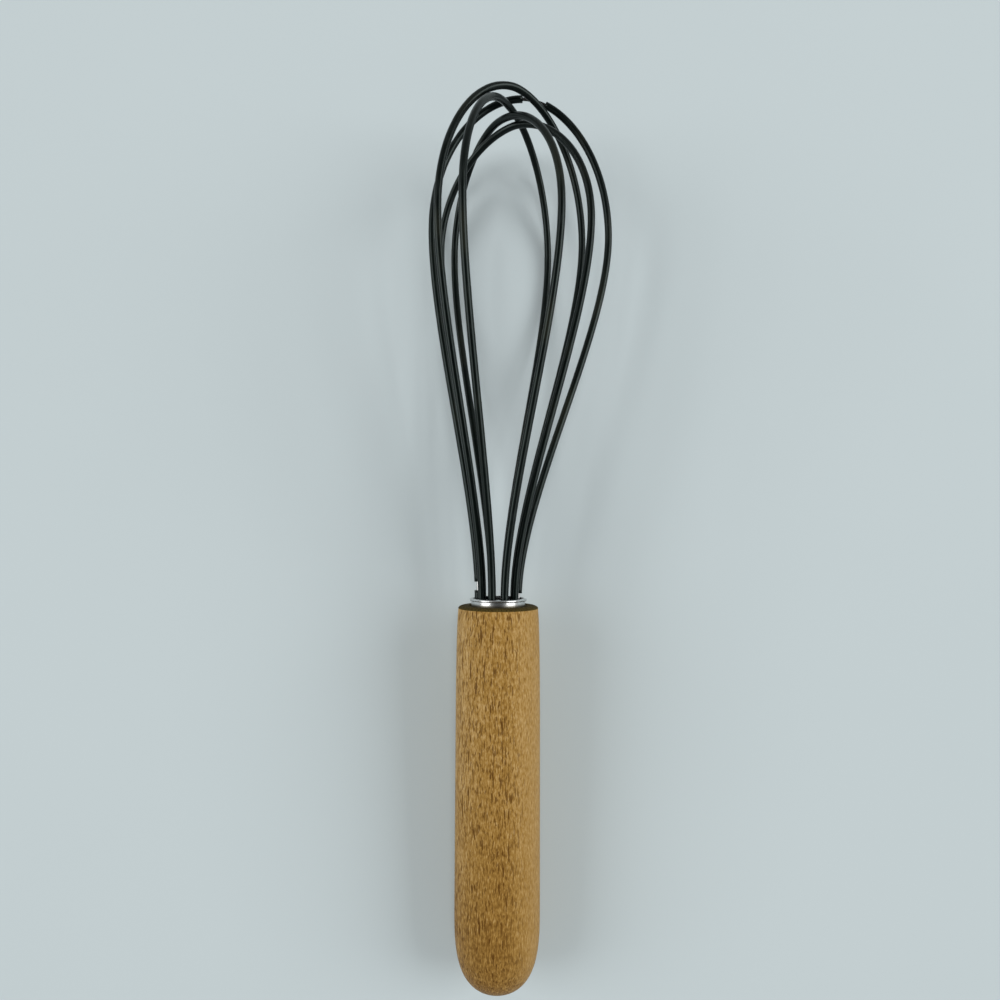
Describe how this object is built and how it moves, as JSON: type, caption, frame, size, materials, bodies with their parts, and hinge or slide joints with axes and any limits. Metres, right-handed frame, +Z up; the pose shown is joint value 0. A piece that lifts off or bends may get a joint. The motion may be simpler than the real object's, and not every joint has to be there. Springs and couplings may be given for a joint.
{
  "type": "balloon whisk",
  "caption": "Hand whisk with a turned wooden handle, a polished steel ferrule and a balloon of black sleeved spring-wire loops, one sleeve worn through to the wire.",
  "frame": {"origin": "bottom centre of the whisk's box as it lies on a table, so the table is z = 0", "axes": "+Y from the handle towards the tip of the balloon, +Z up from the table, +X to the right when seen from above with the tip pointing away"},
  "size_m": [0.0562, 0.2616, 0.0505],
  "materials": {
    "beech": "oiled, semi-matt, fine dark pores along the grain",
    "polished_steel": "polished",
    "spring_steel": "drawn wire",
    "black_sleeve": "satin black extruded sleeve",
    "resin": "cast black resin"
  },
  "bodies": {
    "root": {"handle": "beech", "ferrule": "polished_steel", "resin_plug": "resin", "wire_a": "spring_steel", "wire_b": "spring_steel", "wire_c": "spring_steel", "wire_d": "spring_steel", "wire_e": "spring_steel", "sleeve_a": "black_sleeve", "sleeve_b": "black_sleeve", "sleeve_c": "black_sleeve", "sleeve_d": "black_sleeve", "sleeve_e_stub": "black_sleeve", "sleeve_e_left": "black_sleeve", "sleeve_e_right": "black_sleeve"}
  },
  "joints": []
}
